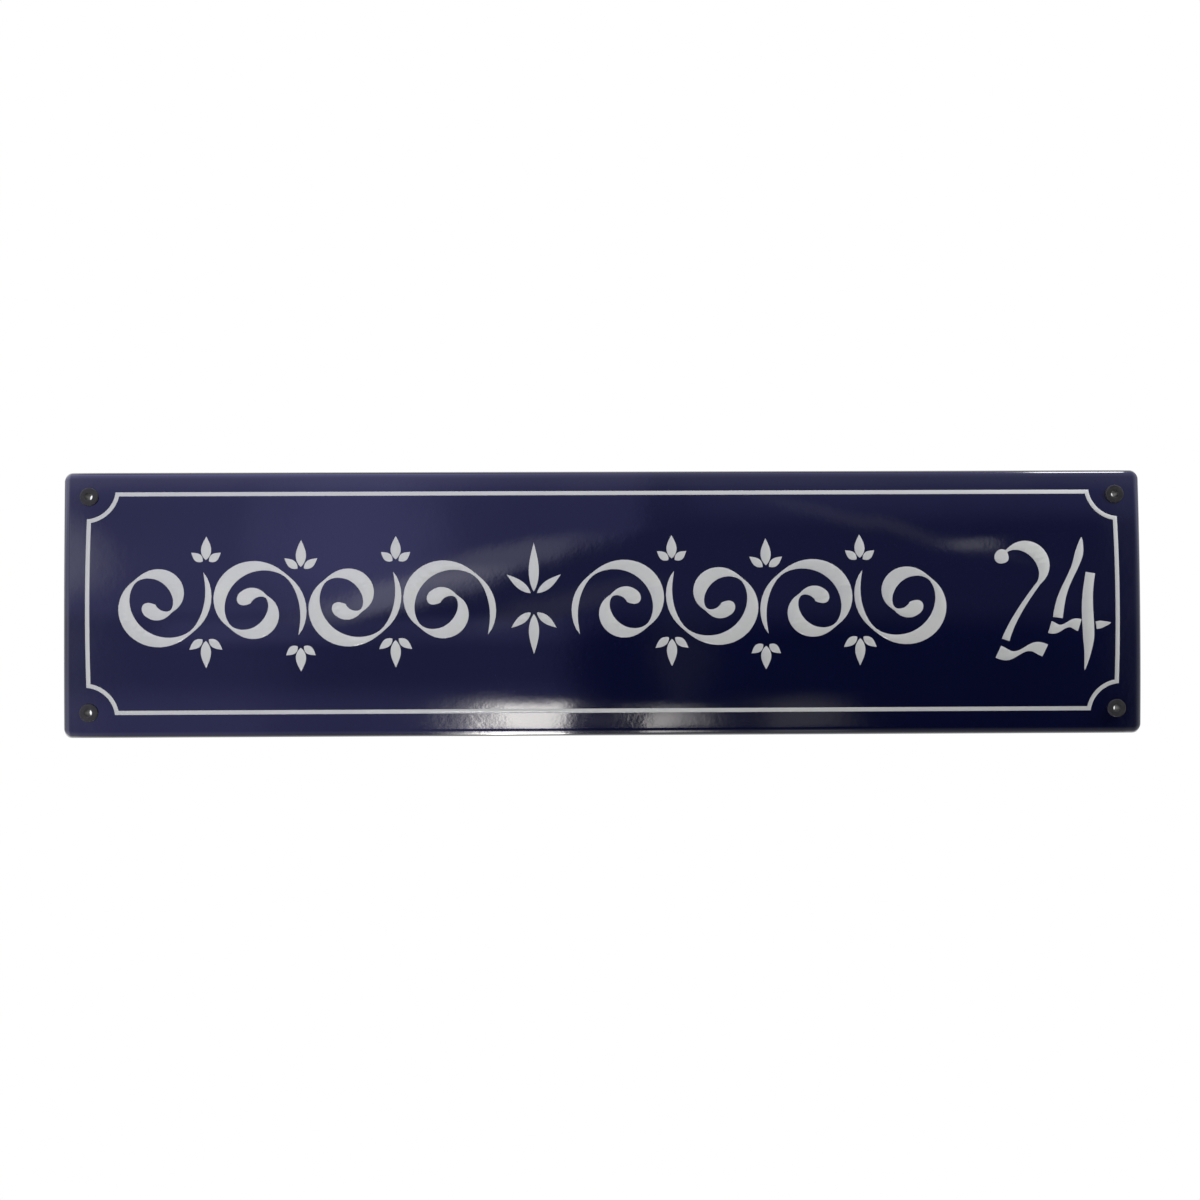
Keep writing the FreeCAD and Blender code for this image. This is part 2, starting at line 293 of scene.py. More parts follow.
# %% The enamel of the plate
def make_blue_enamel():
    finish = Finish("blue_enamel")
    clouds = finish.clouds(60 * MM, detail=3.0)
    dust = finish.clouds(0.9 * MM, detail=2.0)
    thick, thin = (0.0036, 0.0049, 0.027, 1), (0.0042, 0.0055, 0.031, 1)
    blue = finish.blend(finish.stretch(clouds, 0.3, 0.7, 0, 1), thick, thin)
    specks = finish.stretch(dust, 0.66, 0.82, 0, 0.4)
    blue = finish.blend(specks, blue, (0.011, 0.013, 0.048, 1))
    mottle = finish.clouds(9 * MM, detail=4.0, roughness=0.6)
    dark, pale = (0.0075, 0.0080, 0.0125, 1), (0.019, 0.020, 0.027, 1)
    ground = finish.blend(finish.stretch(mottle, 0.35, 0.7, 0, 1), dark, pale)
    back = finish.stretch(finish.mark("ground_coat"), 0.35, 0.65, 0, 1)
    finish.set("Base Color", finish.blend(back, blue, ground))
    gloss = finish.stretch(clouds, 0.3, 0.7, 0.045, 0.065)
    dull = finish.stretch(mottle, 0.3, 0.7, 0.24, 0.36)
    finish.set("Roughness", finish.blend(back, gloss, dull, "FLOAT"))
    waves = finish.relief(finish.clouds(55 * MM, detail=1.0), 0.25 * MM)
    peel = finish.relief(finish.clouds(4.0 * MM, detail=1.0), 0.007 * MM, waves)
    finish.set("Normal", finish.relief(finish.clouds(1.2 * MM, detail=1.0), 0.003 * MM, peel))
    finish.set("IOR", 1.5)
    return finish.material


blue_enamel = make_blue_enamel()
print("blue enamel has", len(blue_enamel.node_tree.nodes), "nodes")

# %% [markdown]
# ## The plate
#
# A press makes this plate in one stroke. Here it starts as a flat sheet with rounded
# corners, cut into a net. Rings are pulled out all round its outline. Then every point is
# laid where the pressed sheet has it: the net on the curved face, the rings round the bend
# and down the leaning edge. A bevel on a box could give the bend too, but not this even
# run of faces, and reflections in gloss enamel show every uneven face.
#
# First comes the edge. At any place on the flat outline, `wall_at` gives the foot of the
# edge on the wall, the way the edge faces and the way it rises. At the corners the edge is
# part of a round bar that leans both ways.

# %% The leaning edge
FLAT_CORNER = CORNER_RADIUS - BEND_RADIUS
CORE_ACROSS = HALF_LENGTH - CORNER_RADIUS
CORE_UP = HALF_HEIGHT - CORNER_RADIUS


def wall_at(x, z):
    side, up = math.copysign(1, x), math.copysign(1, z)
    past_end, past_long = abs(x) - CORE_ACROSS, abs(z) - CORE_UP
    slope = math.tan(LEAN)
    end_normal = Vector((side * math.cos(LEAN), -math.sin(LEAN), 0))
    long_normal = Vector((0, -math.sin(LEAN), up * math.cos(LEAN)))
    if past_long < -TINY:
        return Vector((side * HALF_LENGTH, 0, z)), end_normal, Vector((-side * slope, -1, 0))
    if past_end < -TINY:
        return Vector((x, 0, up * HALF_HEIGHT)), long_normal, Vector((0, -1, -up * slope))
    rise = Vector((-side * slope, -1, -up * slope))
    turn = math.atan2(max(past_long, 0), max(past_end, 0)) / (math.pi / 2)
    normal = end_normal.slerp(long_normal, turn)
    inset = CORNER_RADIUS / math.cos(LEAN)
    bar = Vector((side * (HALF_LENGTH - inset), 0, up * (HALF_HEIGHT - inset)))
    foot = bar + normal * CORNER_RADIUS
    return foot + rise * foot.y, normal, rise


# %% [markdown]
# A ball that rolls along the inside of the bend gives its form, as a fillet does in CAD.
# Its centre rises from the foot of the edge until the ball also touches the curved face.


# %% The ball in the bend
def ball_in_bend(foot, normal, rise):
    start = foot - normal * BEND_RADIUS
    reach = DOME_RADIUS - BEND_RADIUS
    out, climb = Vector((start.y - DOME_AXIS, start.z)), Vector((rise.y, rise.z))
    along, square = out.dot(climb), climb.length_squared
    root = math.sqrt(along**2 - square * (out.length_squared - reach**2))
    return start + rise * ((root - along) / square)


middle_ball = ball_in_bend(*wall_at(HALF_LENGTH, 0))
print("the bend of an end begins at x =", round(middle_ball.x / MM, 2), "mm")

# %% [markdown]
# The points of the sheet fall into the net and a row of rings. Two holding rings, beside
# the start and the end of the bend, keep its shading from spreading over the face and the
# edge. The last ring is the foot. `lay_point` gives a point's place on the outside of the
# sheet, or an inset further in.

# %% Where a point of the sheet lies
BEND_STEPS = 12
HOLDING = 0.5 * MM
NET, FACE_HOLD, EDGE_HOLD, FOOT = -2, -1, BEND_STEPS + 1, BEND_STEPS + 2


def lay_point(place, ring, inset):
    if ring == NET:
        return on_dome(place.x, -inset, place.z)
    foot, normal, rise = wall_at(place.x, place.z)
    if ring == FOOT:
        return foot - normal * inset - rise * (normal.y * inset)
    ball = ball_in_bend(foot, normal, rise)
    face_normal = Vector((0, ball.y - DOME_AXIS, ball.z)).normalized()
    radius = BEND_RADIUS - inset
    if ring == FACE_HOLD:
        inward = (face_normal * normal.dot(face_normal) - normal).normalized()
        spot = ball + face_normal * radius + inward * HOLDING
        return on_dome(spot.x, -inset, spot.z)
    if ring == EDGE_HOLD:
        return ball + normal * radius - rise * HOLDING
    return ball + face_normal.slerp(normal, ring / BEND_STEPS) * radius


print("the bend and the edge take", FOOT - FACE_HOLD + 1, "rings round the net")

# %% [markdown]
# The flat sheet is one face whose corners are beveled. Planes cut it every 3 mm up the
# sign, where the face curves, and every 12 mm along it, where it doesn't. Round each
# fixing hole the net is finer. There a square patch becomes one face with 16 points, and
# inside it the same face is set again, its points turned out evenly onto a circle. The
# hole opens when that inner face goes.

# %% The flat sheet
NET_UP = 3 * MM
NET_ALONG = 12 * MM
PATCH = 2 * NET_UP
HOLE_RADIUS = 3.5 * MM
HOLE_SIDES = 16
CORNER_STEPS = 8
FACING_FRONT = Matrix.Rotation(math.pi / 2, 4, "X")


def evenly(low, high, step):
    count = round((high - low) / step)
    return [low + (high - low) * number / count for number in range(count + 1)]


def cut(bm, place, direction):
    everything = bm.verts[:] + bm.edges[:] + bm.faces[:]
    bmesh.ops.bisect_plane(bm, geom=everything, dist=TINY, plane_co=place, plane_no=direction)


def cut_net(bm):
    along = (HOLE_ACROSS, NET_ALONG, Vector((1, 0, 0)))
    upward = (HOLE_UP, NET_UP, Vector((0, 0, 1)))
    for half, step, axis in (along, upward):
        lines = evenly(PATCH - half, half - PATCH, step)
        lines += [side * (half + number * NET_UP) for side in (-1, 1) for number in (-1, 0, 1, 2)]
        for line in lines:
            cut(bm, axis * line, axis)


def near_hole(point, hole):
    return max(abs(point.x - hole[0]), abs(point.z - hole[1])) < PATCH + 10 * TINY


def open_hole(bm, hole):
    squares = [face for face in bm.faces if near_hole(face.calc_center_median(), hole)]
    patch = bmesh.ops.dissolve_faces(bm, faces=squares)["region"]
    bmesh.ops.inset_individual(bm, faces=patch, thickness=NET_UP / 2)
    centre, step = Vector((hole[0], 0, hole[1])), math.tau / HOLE_SIDES
    radius = HOLE_RADIUS / math.cos(step / 2)
    for vert in patch[0].verts:
        out = vert.co - centre
        turn = round(math.atan2(out.z, out.x) / step) * step
        vert.co = centre + toward(turn) * radius
    bmesh.ops.delete(bm, geom=patch, context="FACES")


def make_flat_sheet():
    bm = bmesh.new()
    bmesh.ops.create_grid(bm, x_segments=1, y_segments=1, size=1, matrix=FACING_FRONT)
    half_sizes = (HALF_LENGTH - BEND_RADIUS, 1, HALF_HEIGHT - BEND_RADIUS)
    bmesh.ops.scale(bm, vec=half_sizes, verts=bm.verts)
    round_off(bm, bm.verts[:], FLAT_CORNER, CORNER_STEPS, affect="VERTICES")
    cut_net(bm)
    for hole in hole_places:
        open_hole(bm, hole)
    print("the flat sheet has", len(bm.faces), "faces")
    return bm


# %% [markdown]
# The rings are pulled out of the outline edge by edge, still flat. The sheet is then
# doubled for its inside, and its open edges are pulled through to the other skin. Every
# point knows its place on the outline, its ring and its skin, so one rule lays them all,
# and points that meet are joined. A bevel rounds the rim as the enamel does.


# %% The pressed plate
RIM_STEPS = 4


def beside_hole(edge):
    return any(near_hole(edge.verts[0].co, hole) for hole in hole_places)


def pull_rings(bm, place, ring):
    outline = [edge for edge in bm.edges if edge.is_boundary and not beside_hole(edge)]
    for vert in bm.verts:
        vert[place], vert[ring] = vert.co, NET
    for number in range(FACE_HOLD, FOOT + 1):
        if number > FACE_HOLD:
            pulled = bmesh.ops.extrude_edge_only(bm, edges=outline)["geom"]
            outline = [edge for edge in edges_of(pulled) if edge.is_boundary]
        for edge in outline:
            for vert in edge.verts:
                vert[ring] = number


def double_sheet(bm, coat):
    """Adds the inside, and walls that go through the sheet at the rim and in the holes."""
    open_edges = [edge for edge in bm.edges if edge.is_boundary]
    inside = bmesh.ops.duplicate(bm, geom=bm.verts[:] + bm.edges[:] + bm.faces[:])["geom"]
    walls = bmesh.ops.extrude_edge_only(bm, edges=open_edges)["geom"]
    for vert in points_of(inside) + points_of(walls):
        vert[coat] = 1


def round_rim(bm, ring, coat):
    for skin, corner in ((0, math.pi / 2 - LEAN), (1, math.pi / 2 + LEAN)):
        feet = {vert for vert in bm.verts if vert[ring] == FOOT and round(vert[coat]) == skin}
        edges = [edge for edge in bm.edges if feet.issuperset(edge.verts)]
        edges = [edge for edge in edges if edge.calc_face_angle(0) > SHARP_TURN]
        round_off(bm, edges, RIM_ROUNDING / math.tan(corner / 2), RIM_STEPS)


def make_plate():
    bm = make_flat_sheet()
    place = bm.verts.layers.float_vector.new("place")
    ring = bm.verts.layers.int.new("ring")
    coat = bm.verts.layers.float.new("ground_coat")
    pull_rings(bm, place, ring)
    double_sheet(bm, coat)
    for vert in bm.verts:
        vert.co = lay_point(vert[place], vert[ring], SHEET * vert[coat])
    bmesh.ops.remove_doubles(bm, verts=bm.verts, dist=TINY)
    bmesh.ops.recalc_face_normals(bm, faces=bm.faces)
    round_rim(bm, ring, coat)
    bm.verts.layers.float_vector.remove(bm.verts.layers.float_vector["place"])
    bm.verts.layers.int.remove(bm.verts.layers.int["ring"])
    return bm


make_piece("plate", make_plate(), blue_enamel, "blue_enamel", "sign_plate")


# %% [markdown]
# ## White enamel
#
# The white is a second coat, put on through a stencil and fired again, so it stands a
# hair's breadth above the blue. It is a cool white with faint clouds, as glossy as the
# blue, and it takes over the waves of the sheet below it.


# %% The enamel of the line and the painted shapes
def make_white_enamel():
    finish = Finish("white_enamel")
    clouds = finish.clouds(30 * MM, detail=3.0)
    dust = finish.clouds(0.8 * MM, detail=2.0)
    thin, thick = (0.60, 0.610, 0.612, 1), (0.64, 0.646, 0.637, 1)
    white = finish.blend(finish.stretch(clouds, 0.3, 0.7, 0, 1), thin, thick)
    specks = finish.stretch(dust, 0.64, 0.8, 0, 0.5)
    finish.set("Base Color", finish.blend(specks, white, (0.50, 0.507, 0.527, 1)))
    finish.set("Roughness", finish.stretch(clouds, 0.3, 0.7, 0.10, 0.15))
    waves = finish.relief(finish.clouds(55 * MM, detail=1.0), 0.35 * MM)
    finish.set("Normal", finish.relief(finish.clouds(2.5 * MM, detail=1.0), 0.012 * MM, waves))
    finish.set("IOR", 1.5)
    return finish.material


white_enamel = make_white_enamel()
print("white enamel has", len(white_enamel.node_tree.nodes), "nodes")

# %% [markdown]
# ## A coat through a stencil
#
# Everything white starts as a flat shape in front of the sign. `fire_on` gives it a
# thickness and soft shoulders, cuts it finely enough to bend, and lays it on the curved
# face, a little sunk into the blue as fired glass is.

# %% From a flat shape to a fired coat
COAT = 0.15 * MM
SUNK = 0.03 * MM
SHOULDER = 0.09 * MM
SHOULDER_STEPS = 2
HIGHEST_CUT = 66 * MM


def fire_on(bm):
    bmesh.ops.remove_doubles(bm, verts=bm.verts, dist=10 * TINY)
    bmesh.ops.translate(bm, vec=(0, SUNK, 0), verts=bm.verts)
    raised = bmesh.ops.extrude_face_region(bm, geom=bm.faces[:], use_keep_orig=True)["geom"]
    bmesh.ops.translate(bm, vec=(0, -COAT - SUNK, 0), verts=points_of(raised))
    bmesh.ops.recalc_face_normals(bm, faces=bm.faces)
    sharp = [edge for edge in bm.edges if edge.calc_face_angle(0) > SHARP_TURN]
    ridges = [edge for edge in sharp if max(vert.co.y for vert in edge.verts) < 0]
    round_off(bm, ridges, SHOULDER, SHOULDER_STEPS)
    for level in evenly(-HIGHEST_CUT, HIGHEST_CUT, NET_UP):
        cut(bm, (0, 0, level), (0, 0, 1))
    for vert in bm.verts:
        vert.co = on_dome(vert.co.x, -vert.co.y, vert.co.z)
    return bm


# %% [markdown]
# ## The white line
#
# The line runs round the sign and gives way to each hole in a hollow quarter circle. A
# quarter of its outer edge and of its inner edge is drawn: a straight run, an arc spun
# about the middle of the notch, and another straight run. Mirroring twice closes both
# edges, and a bridge fills the line between them.

# %% One quarter of an edge, mirrored and bridged
line_low, line_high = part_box("white_border")
LINE_WIDTH = 2.3 * MM
NOTCH_RADIUS = 16.3 * MM
NOTCH_BEYOND = 1.2 * MM
NOTCH_STEPS = 20
LINE_END = line_high.x
LINE_TOP = (line_high.z - line_low.z) / 2
LINE_MIDDLE = (line_high.z + line_low.z) / 2


def quarter_edge(bm, inset):
    notch = Vector((LINE_END + NOTCH_BEYOND, 0, LINE_TOP + NOTCH_BEYOND))
    radius = NOTCH_RADIUS + inset
    start = math.asin((NOTCH_BEYOND + inset) / radius)
    top_middle = bm.verts.new((0, 0, LINE_TOP - inset))
    arc_start = bm.verts.new(notch - toward(start) * radius)
    bm.edges.new((top_middle, arc_start))
    angle = 2 * start - math.pi / 2
    turn = {"cent": notch, "axis": (0, 1, 0), "angle": angle, "steps": NOTCH_STEPS}
    arc = bmesh.ops.spin(bm, geom=[arc_start], **turn)
    arc_end = points_of(arc["geom_last"])[0]
    bm.edges.new((arc_end, bm.verts.new((LINE_END - inset, 0, 0))))


def make_line():
    bm = bmesh.new()
    quarter_edge(bm, 0)
    quarter_edge(bm, LINE_WIDTH)
    for axis in "XZ":
        bmesh.ops.mirror(bm, geom=bm.verts[:] + bm.edges[:], merge_dist=TINY, axis=axis)
    bmesh.ops.bridge_loops(bm, edges=bm.edges[:])
    bmesh.ops.translate(bm, vec=(0, 0, LINE_MIDDLE), verts=bm.verts)
    return fire_on(bm)


make_piece("white_line", make_line(), white_enamel, "white_enamel", "white_border")

# %% [markdown]
# ## Strokes of a broad pen
#
# Painted signs get their thick and thin strokes from a broad pen. A stroke here is a
# ribbon that starts as a flat grid. Each of its points goes to its share of a path, off to
# its side by half the pen's width there. The pen is wide across its slant and thin along
# it. A stroke can taper from a point, and it can end in a ball.

# %% A ribbon along a path
PEN_WIDE = 8 * MM
PEN_THIN = 1.5 * MM
PEN_SLANT = math.radians(40)
PATH_MARKS = 400
TAPER_POWER = 0.7


def pen_width(direction, mirrored):
    angle = math.atan2(direction.z, -direction.x if mirrored else direction.x) - PEN_SLANT
    return math.hypot(PEN_WIDE * math.sin(angle), PEN_THIN * math.cos(angle))


def measured(path):
    """Points along a path, and how far along it each one is."""
    marks = [path(number / PATH_MARKS) for number in range(PATH_MARKS + 1)]
    lengths = [0.0]
    for here, there in zip(marks, marks[1:]):
        lengths.append(lengths[-1] + (there - here).length)
    return marks, lengths


def draw_stroke(bm, path, steps, taper=0.0, ball=0.0, mirrored=False):
    """Path gives a point for a share from 0 to 1. Taper is a length, ball a radius."""
    marks, lengths = measured(path)
    for vert in bmesh.ops.create_grid(bm, x_segments=steps, y_segments=1, size=1)["verts"]:
        share, side = (vert.co.x + 1) / 2, vert.co.y
        went = lengths[-1] * (1 - (1 - share) ** 2 if ball else share)
        left = lengths[-1] - went
        at = min(max(sum(length < went for length in lengths), 1), PATH_MARKS)
        part = (went - lengths[at - 1]) / (lengths[at] - lengths[at - 1])
        ahead = (marks[min(at + 1, PATH_MARKS)] - marks[max(at - 2, 0)]).normalized()
        across = Vector((-ahead.z, 0, ahead.x))
        width = pen_width(ahead, mirrored)
        if taper:
            width *= min(went / taper, 1) ** TAPER_POWER
        if left < 2 * ball:
            bulb = 2 * math.sqrt(max(ball**2 - (left - ball) ** 2, 0))
            width = bulb if left < ball else max(width, bulb)
        vert.co = marks[at - 1].lerp(marks[at], part) + across * (side * width / 2)


for degrees in (0, 45, 90):
    width = pen_width(toward(math.radians(degrees)), False)
    print("a stroke at", degrees, "degrees is", round(width / MM, 1), "mm wide")


# %% [markdown]
# ## The ornament
#
# The middle of the sign carries a running scroll, an old ornament that every sign painter
# knows. A chain of spirals turns up and down by turns, and small leaves fill the gaps
# between them. One half is drawn and the other half mirrors it. A stencil needs bridges,
# so the strokes don't touch.

# %% Spirals and leaves
ORNAMENT_MIDDLE = -39 * MM
FIRST_HUMP = 50 * MM
HUMP = 52 * MM
HUMPS = 4
HUMP_SHIFT = 2 * MM
SPIRAL_CORE = 6.2 * MM
SPIRAL_GROWTH = 22.9 * MM
SPIRAL_POWER = 1.35
SPIRAL_START = 212  # degrees, as are the next one and the lean
SPIRAL_SWEEP = 560
SPIRAL_STEPS = 90
SPIRAL_TAPER = 30 * MM
SPIRAL_BALL = 4.2 * MM
LEAF_STEPS = 18
LEAF_WIDTH = 5.6 * MM
LEAF_GAP = 2.2 * MM
SIDE_LEAF_LEAN = 52
SIDE_LEAF_SHARE = 0.62


def spiral(centre, up, hand):
    """A spiral that comes in from beside the one before, goes over the hump and curls in."""

    def path(share):
        turn = math.radians(SPIRAL_START - share * SPIRAL_SWEEP)
        radius = SPIRAL_CORE + SPIRAL_GROWTH * (1 - share) ** SPIRAL_POWER
        return centre + Vector((hand * math.cos(turn), 0, up * math.sin(turn))) * radius

    return path


def draw_leaf(bm, root, along, length, width):
    """A leaf that starts at its root and is widest a little before its middle."""
    across = Vector((-along.z, 0, along.x))
    grid = bmesh.ops.create_grid(bm, x_segments=LEAF_STEPS, y_segments=1, size=1)
    for vert in grid["verts"]:
        share = (vert.co.x + 1) / 2
        swell = math.sin(math.pi * share**0.8)
        vert.co = root + along * (length * share) + across * (vert.co.y * width / 2 * swell)


def draw_tuft(bm, across, height, up, length):
    """Three leaves that spread from a point, up or down."""
    point = Vector((ORNAMENT_MIDDLE + across, 0, height))
    for lean, share in ((0, 1), (-1, SIDE_LEAF_SHARE), (1, SIDE_LEAF_SHARE)):
        along = toward(math.radians(up * 90 + lean * SIDE_LEAF_LEAN))
        draw_leaf(bm, point + along * LEAF_GAP, along, length * share, LEAF_WIDTH * share**0.5)


def draw_half_ornament(bm, hand):
    for number in range(HUMPS):
        up = (-1) ** number
        across = FIRST_HUMP + number * HUMP
        centre = Vector((ORNAMENT_MIDDLE + hand * across, 0, -up * HUMP_SHIFT))
        path, mirrored = spiral(centre, up, hand), hand * up < 0
        draw_stroke(bm, path, SPIRAL_STEPS, SPIRAL_TAPER, SPIRAL_BALL, mirrored)
        if number < HUMPS - 1:
            between = hand * (across + HUMP / 2)
            draw_tuft(bm, between, height=22 * up * MM, up=up, length=13 * MM)
            draw_tuft(bm, between, height=-18 * up * MM, up=-up, length=15 * MM)


def make_ornament():
    bm = bmesh.new()
    draw_tuft(bm, 0, height=4 * MM, up=1, length=27 * MM)
    draw_tuft(bm, 0, height=-4 * MM, up=-1, length=22 * MM)
    for hand in (-1, 1):
        draw_half_ornament(bm, hand)
    return fire_on(bm)


make_piece("ornament", make_ornament(), white_enamel, "white_enamel")

# %% [markdown]
# ## The number
#
# A plain number stands to the right of the ornament, drawn with the same pen. The 2 is a
# bowl that ends in a ball, over a foot. The 4 is a slant that starts from a point, a bar,
# and a stem that runs out to a point below. The bar comes out again beyond the stem.


# %% Two figures
BOWL_MIDDLE = Vector((230.5 * MM, 0, 18 * MM))
BOWL_RADIUS = 12.5 * MM
BOWL_START = math.radians(-38)
BOWL_SWEEP = math.radians(205)
SLANT_FOOT = Vector((221.5 * MM, 0, -21.5 * MM))
SLANT_PULL = 24 * MM
SLANT_SHARE = 0.45


def straight(start, end, sway=0.0):
    """A straight path between points in mm, or with sway one that swings like a wave."""
    first, last = (Vector((x * MM, 0, z * MM)) for x, z in (start, end))
    across = Vector((first.z - last.z, 0, last.x - first.x)).normalized()
    return lambda share: first.lerp(last, share) + across * (sway * MM * math.sin(math.tau * share))


def bowl_of_two(share):
    """From the foot up the slant and round the bowl, back to the left."""
    turn = BOWL_START + BOWL_SWEEP * max(share - SLANT_SHARE, 0) / (1 - SLANT_SHARE)
    around = BOWL_MIDDLE + toward(turn) * BOWL_RADIUS
    if share > SLANT_SHARE:
        return around
    pull = around + toward(turn - math.pi / 2) * SLANT_PULL
    part = share / SLANT_SHARE
    return SLANT_FOOT.lerp(pull, part).lerp(pull.lerp(around, part), part)


def make_number():
    bm = bmesh.new()
    draw_stroke(bm, bowl_of_two, steps=70, ball=4.0 * MM)
    draw_stroke(bm, straight((217.5, -28), (243.5, -27.5), sway=-2.0), steps=30)
    draw_stroke(bm, straight((264.5, 35.5), (250.4, -9.3), sway=1.2), steps=30, taper=10 * MM)
    draw_stroke(bm, straight((246.0, -14.5), (262.6, -13.5), sway=-1.0), steps=20)
    draw_stroke(bm, straight((265.6, -38.5), (268.8, 15.5), sway=-1.0), steps=40, taper=18 * MM)
    draw_stroke(bm, straight((280.0, -12.2), (271.7, -13.6)), steps=10, taper=6 * MM)
    return fire_on(bm)


make_piece("number", make_number(), white_enamel, "white_enamel")


# %% [markdown]
# ## Black rubber
#
# The grommets are moulded rubber: nearly black, half matt, with the fine grain of the mould
# and a slightly paler bloom here and there. The pin of the mould leaves the bore smoother,
# without grain, so at a glancing look it takes up more of the white behind the sign. The
# bore is found by the distance of a point from the axis of its hole.


# %% The rubber of the grommets
BORE_RADIUS = 2 * MM


def away_from_hole(finish):
    split = finish.node("ShaderNodeSeparateXYZ")
    finish.feed(split.inputs[0], finish.place)
    spot = finish.node("ShaderNodeCombineXYZ")
    for axis, middle in ((0, HOLE_ACROSS), (2, HOLE_UP)):
        away = finish.maths("SUBTRACT", finish.maths("ABSOLUTE", split.outputs[axis]), middle)
        finish.feed(spot.inputs[axis], away)
    length = finish.node("ShaderNodeVectorMath", operation="LENGTH")
    finish.feed(length.inputs[0], spot.outputs[0])
    return length.outputs["Value"]


def make_black_rubber():
    finish = Finish("black_rubber")
    bloom = finish.clouds(3 * MM, detail=3.0)
    grain = finish.clouds(0.25 * MM, detail=2.0)
    dark, pale = (0.025, 0.025, 0.0235, 1), (0.036, 0.036, 0.034, 1)
    finish.set("Base Color", finish.blend(finish.stretch(bloom, 0.35, 0.7, 0, 1), dark, pale))
    bore = finish.stretch(away_from_hole(finish), 1.02 * BORE_RADIUS, 1.1 * BORE_RADIUS, 1.0, 0.0)
    matt = finish.stretch(bloom, 0.3, 0.7, 0.36, 0.48)
    finish.set("Roughness", finish.blend(bore, matt, 0.34, "FLOAT"))
    finish.set("Normal", finish.relief(grain, finish.blend(bore, 0.015 * MM, 0.002 * MM, "FLOAT")))
    finish.set("IOR", 1.3)
    return finish.material


black_rubber = make_black_rubber()
print("black rubber has", len(black_rubber.node_tree.nodes), "nodes")

# %% [markdown]
# ## The grommets
#
# A grommet keeps the screw off the enamel and the sheet off the wall. It is round, so its
# profile is spun about the axis of its hole: a long body behind the sheet, a neck in the
# hole, and a flat head in front. The sheet leans where the hole is, so the two faces that
# touch it are laid on its skins point by point.

# %% Spun about the hole
BODY_RADIUS = 5 * MM
NECK_RADIUS = 3.45 * MM
HEAD_ROUNDING = 0.6 * MM
MOUTH_ROUNDING = 0.3 * MM
HEAD_STEPS = 5
GROMMET_SIDES = 48
NO_SKIN, BACK_SKIN, FRONT_SKIN = 0, 1, 2
grommet_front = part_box("grommet_top_left")[0].y


def grommet_profile():
    """Radius, depth and the skin of the sheet that a corner of the profile touches."""
    return [
        (BORE_RADIUS, 0, NO_SKIN),
        (BODY_RADIUS, 0, NO_SKIN),
        (BODY_RADIUS, 0, BACK_SKIN),
        (NECK_RADIUS, 0, BACK_SKIN),
        (NECK_RADIUS, 0, FRONT_SKIN),
        (BODY_RADIUS, 0, FRONT_SKIN),
        (BODY_RADIUS, grommet_front, NO_SKIN),
        (BORE_RADIUS, grommet_front, NO_SKIN),
    ]


def on_ring(out, radius):
    return abs(out.y) < TINY and abs(math.hypot(out.x, out.z) - radius) < 10 * TINY


def round_head(bm, x, z):
    front = Vector((x, grommet_front, z))
    for radius, width in ((BODY_RADIUS, HEAD_ROUNDING), (BORE_RADIUS, MOUTH_ROUNDING)):
        ring = {vert for vert in bm.verts if on_ring(vert.co - front, radius)}
        edges = [edge for edge in bm.edges if ring.issuperset(edge.verts)]
        round_off(bm, edges, width, HEAD_STEPS)


def make_grommet(x, z):
    bm = bmesh.new()
    touches = bm.verts.layers.int.new("touches")
    corners = []
    for radius, depth, skin in grommet_profile():
        corners.append(bm.verts.new((x + radius, depth, z)))
        corners[-1][touches] = skin
    for start, end in zip(corners, corners[1:] + corners[:1]):
        bm.edges.new((start, end))
    profile = bm.verts[:] + bm.edges[:]
    turn = {"cent": (x, 0, z), "axis": (0, 1, 0), "angle": math.tau, "steps": GROMMET_SIDES}
    bmesh.ops.spin(bm, geom=profile, use_merge=True, **turn)
    for vert in bm.verts:
        if vert[touches] != NO_SKIN:
            inset = SHEET if vert[touches] == BACK_SKIN else 0
            vert.co = on_dome(vert.co.x, -inset, vert.co.z)
    bmesh.ops.recalc_face_normals(bm, faces=bm.faces)
    round_head(bm, x, z)
    bm.verts.layers.int.remove(bm.verts.layers.int["touches"])
    return bm


for x, z in hole_places:
    name = "grommet_%s_%s" % ("top" if z > 0 else "bottom", "right" if x > 0 else "left")
    make_piece(name + "_rubber", make_grommet(x, z), black_rubber, "black_rubber", name)

# %% [markdown]
# ## Floor
#
# The floor is a plain pale sheet, far enough below that the photograph's view misses it.
# To the camera it glows a little, so that it joins the white round it, and it still takes
# the sign's shadow. The gloss of the sign doesn't find it, because the room that the gloss
# shows is all in the world.


# %% A pale floor
FLOOR_HALF_SIZES = (0.77, 0.55, 1)
FLOOR_LEVEL = -500 * MM
FLOOR_GLOW = 0.58


def make_floor_paper():
    finish = Finish("floor_paper")
    clouds = finish.clouds(150 * MM)
    finish.set("Base Color", finish.blend(clouds, (0.80, 0.80, 0.80, 1), (0.84, 0.84, 0.84, 1)))
    finish.set("Roughness", 0.8)
    finish.set("Emission Color", (1, 1, 1, 1))
    path = finish.node("ShaderNodeLightPath").outputs
    seen = finish.maths("MAXIMUM", path["Is Camera Ray"], path["Is Transmission Ray"])
    finish.set("Emission Strength", finish.stretch(seen, 0, 1, 0, FLOOR_GLOW))
    gone = finish.node("ShaderNodeMixShader")
    finish.feed(gone.inputs[0], path["Is Glossy Ray"])
    finish.feed(gone.inputs[1], finish.shader.outputs[0])
    finish.feed(gone.inputs[2], finish.node("ShaderNodeBsdfTransparent").outputs[0])
    finish.feed(finish.tree.nodes["Material Output"].inputs["Surface"], gone.outputs[0])
    return finish.material


